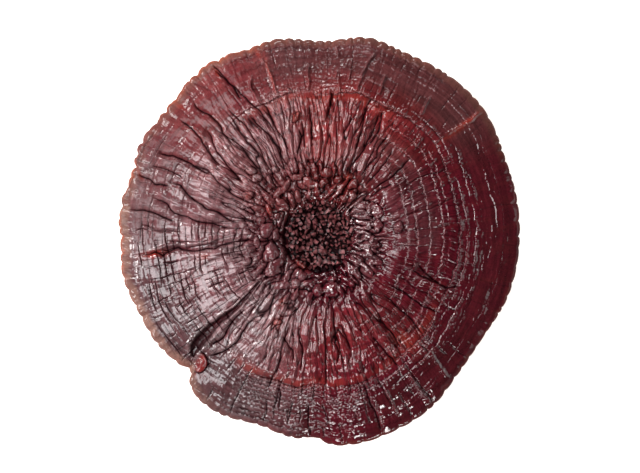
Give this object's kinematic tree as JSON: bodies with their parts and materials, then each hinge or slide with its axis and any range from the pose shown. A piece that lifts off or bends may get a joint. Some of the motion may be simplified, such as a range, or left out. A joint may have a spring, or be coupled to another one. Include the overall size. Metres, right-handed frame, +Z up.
{
  "type": "reishi mushroom",
  "caption": "Broad round lacquered reishi cap with a sunken knobby middle, radial wrinkles and growth rings, on a short stem stub cut off flat.",
  "frame": {"origin": "middle of the stem's flat cut, on the surface that the mushroom stands on", "axes": "+Z up, out of the cap's top; the deep notch in the rim is between -X and -Y"},
  "size_m": [0.2408, 0.2455, 0.0408],
  "materials": {
    "cap_crust": "lacquered, wrinkled, dark red-brown",
    "stem_crust": "lacquered, dark brown, with a pale fibrous cut"
  },
  "bodies": {
    "root": {"cap": "cap_crust", "stem": "stem_crust"}
  },
  "joints": []
}
